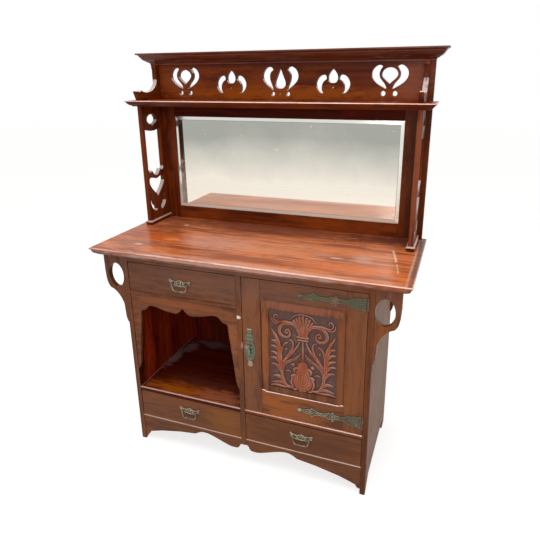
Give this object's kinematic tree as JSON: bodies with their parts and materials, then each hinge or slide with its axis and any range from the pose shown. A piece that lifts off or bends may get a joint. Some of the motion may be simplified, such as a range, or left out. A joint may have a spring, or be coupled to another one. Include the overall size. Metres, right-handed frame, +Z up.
{
  "type": "chiffonier",
  "caption": "Mirror-back chiffonier with fretted gallery and shelf, drawers, an open arched compartment and a carved cupboard door.",
  "frame": {"origin": "on the floor, at the middle of the overall width and depth", "axes": "+X to the right as seen from the front, +Y to the back, +Z up"},
  "size_m": [1.271, 0.52, 1.595],
  "materials": {
    "polished_mahogany": "polished stained mahogany",
    "carved_mahogany": "carved and polished mahogany",
    "drawer_lining": "plain planed pine, stained",
    "aged_brass": "aged cast brass",
    "verdigris_brass": "cast brass with green patina",
    "hinge_brass": "dull rolled brass",
    "lock_steel": "dull steel",
    "silvered_mirror": "bevelled silvered plate glass"
  },
  "bodies": {
    "case": {"back_frame_bottom_rail": "polished_mahogany", "back_frame_stiles": "polished_mahogany", "back_frame_top_rail": "polished_mahogany", "centre_divider": "polished_mahogany", "compartment_floor": "polished_mahogany", "cornice": "polished_mahogany", "cupboard_floor": "polished_mahogany", "foot_mouldings": "polished_mahogany", "frieze_rail": "polished_mahogany", "front_brackets": "polished_mahogany", "gallery_board": "polished_mahogany", "left_apron": "polished_mahogany", "left_bottom_board": "polished_mahogany", "left_end_panel": "polished_mahogany", "left_side_panel": "polished_mahogany", "rear_brackets": "polished_mahogany", "right_apron": "polished_mahogany", "right_bottom_board": "polished_mahogany", "right_end_panel": "polished_mahogany", "right_side_panel": "polished_mahogany", "scalloped_arch": "polished_mahogany", "shelf": "polished_mahogany", "shelf_brackets": "polished_mahogany", "upper_dustboard": "polished_mahogany", "worktop": "polished_mahogany", "back_board": "drawer_lining", "mirror_backboard": "drawer_lining", "mirror_glass": "silvered_mirror", "case_hinge_leaves": "hinge_brass", "hinge_pins": "hinge_brass"},
    "top_drawer": {"top_drawer_front": "polished_mahogany", "top_drawer_sides": "drawer_lining", "top_drawer_back": "drawer_lining", "top_drawer_bottom": "drawer_lining", "top_drawer_handle_plate": "aged_brass"},
    "top_drawer_bail_body": {"top_drawer_bail": "aged_brass"},
    "left_drawer": {"left_drawer_front": "polished_mahogany", "left_drawer_sides": "drawer_lining", "left_drawer_back": "drawer_lining", "left_drawer_bottom": "drawer_lining", "left_drawer_handle_plate": "aged_brass"},
    "left_drawer_bail_body": {"left_drawer_bail": "aged_brass"},
    "right_drawer": {"right_drawer_front": "polished_mahogany", "right_drawer_sides": "drawer_lining", "right_drawer_back": "drawer_lining", "right_drawer_bottom": "drawer_lining", "right_drawer_handle_plate": "aged_brass"},
    "right_drawer_bail_body": {"right_drawer_bail": "aged_brass"},
    "door": {"lock_stile": "polished_mahogany", "hinge_stile": "polished_mahogany", "door_top_rail": "polished_mahogany", "door_bottom_rail": "polished_mahogany", "carved_panel": "carved_mahogany", "upper_strap_plate": "verdigris_brass", "lower_strap_plate": "verdigris_brass", "pull_plate": "verdigris_brass", "door_hinge_leaves": "hinge_brass", "door_lock": "lock_steel"},
    "drop": {"drop_pull": "verdigris_brass"},
    "bolt": {"lock_bolt": "lock_steel"}
  },
  "joints": [
    {"name": "top_drawer_slide", "type": "slide", "parent": "case", "child": "top_drawer", "axis": [0, -1, 0], "range_m": [0, 0.32]},
    {"name": "top_drawer_bail_hinge", "type": "hinge", "parent": "top_drawer", "child": "top_drawer_bail_body", "pos_m": [-0.2405, -0.229, 0.7645], "axis": [-1, 0, 0], "range_deg": [0, 100]},
    {"name": "left_drawer_slide", "type": "slide", "parent": "case", "child": "left_drawer", "axis": [0, -1, 0], "range_m": [0, 0.32]},
    {"name": "left_drawer_bail_hinge", "type": "hinge", "parent": "left_drawer", "child": "left_drawer_bail_body", "pos_m": [-0.2405, -0.229, 0.1965], "axis": [-1, 0, 0], "range_deg": [0, 100]},
    {"name": "right_drawer_slide", "type": "slide", "parent": "case", "child": "right_drawer", "axis": [0, -1, 0], "range_m": [0, 0.32]},
    {"name": "right_drawer_bail_hinge", "type": "hinge", "parent": "right_drawer", "child": "right_drawer_bail_body", "pos_m": [0.2395, -0.229, 0.1965], "axis": [-1, 0, 0], "range_deg": [0, 100]},
    {"name": "door_hinge", "type": "hinge", "parent": "case", "child": "door", "pos_m": [0.46925, -0.2238, 0.551], "axis": [0, 0, 1], "range_deg": [0, 105]},
    {"name": "drop_pull_hinge", "type": "hinge", "parent": "door", "child": "drop", "pos_m": [0.0385, -0.2305, 0.556], "axis": [-1, 0, 0], "range_deg": [0, 80]},
    {"name": "lock_bolt_slide", "type": "slide", "parent": "door", "child": "bolt", "axis": [-1, 0, 0], "range_m": [0, 0.008]}
  ]
}
